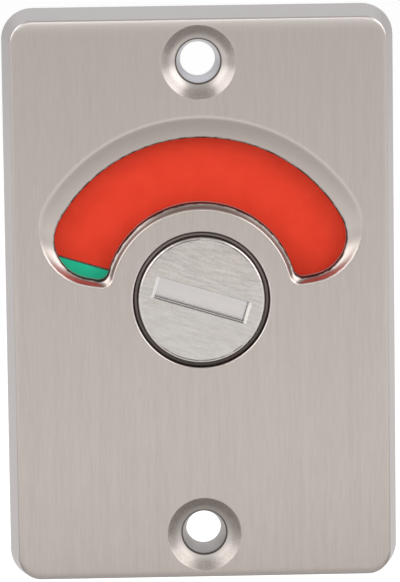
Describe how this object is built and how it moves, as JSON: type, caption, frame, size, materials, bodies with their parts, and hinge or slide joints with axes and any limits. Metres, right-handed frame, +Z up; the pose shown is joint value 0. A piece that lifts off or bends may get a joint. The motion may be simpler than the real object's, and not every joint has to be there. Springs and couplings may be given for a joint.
{
  "type": "toilet door indicator plate with coin release",
  "caption": "Upright metal door plate with an arc window over a red and green disc, a coin-slotted turn in the middle, countersunk fixing holes and a square spindle behind.",
  "frame": {"origin": "on the turn's axis at the door face, midway between the two fixing holes", "axes": "+Z up the door, the front looks along -Y, +Y into the door along the spindle, +X to the right seen from the front"},
  "size_m": [0.06, 0.0496, 0.089],
  "materials": {
    "plate": "satin nickel, brushed along the plate's length",
    "turn": "bright nickel, lightly brushed",
    "bush": "black acetal",
    "nylon": "natural nylon",
    "sheet": "zinc-plated sheet",
    "red": "matt red",
    "green": "matt green",
    "spring": "spring steel",
    "cover": "zinc-plated sheet",
    "screws": "zinc-plated",
    "bar": "drawn square bar",
    "grub": "black oxide"
  },
  "bodies": {
    "plate": {"face_plate": "plate", "turn_bush": "bush", "thrust_washer": "nylon", "wave_washer": "spring", "back_cover": "cover", "cover_screws": "screws"},
    "turn": {"coin_turn": "turn", "indicator_disc": "sheet", "red_panel": "red", "green_panel": "green", "retaining_ring": "spring", "spindle": "bar", "grub_screw": "grub"}
  },
  "joints": [
    {"name": "turn", "type": "hinge", "parent": "plate", "child": "turn", "pos_m": [0, 0, 0], "axis": [0, -1, 0], "range_deg": [-163, 17]}
  ]
}
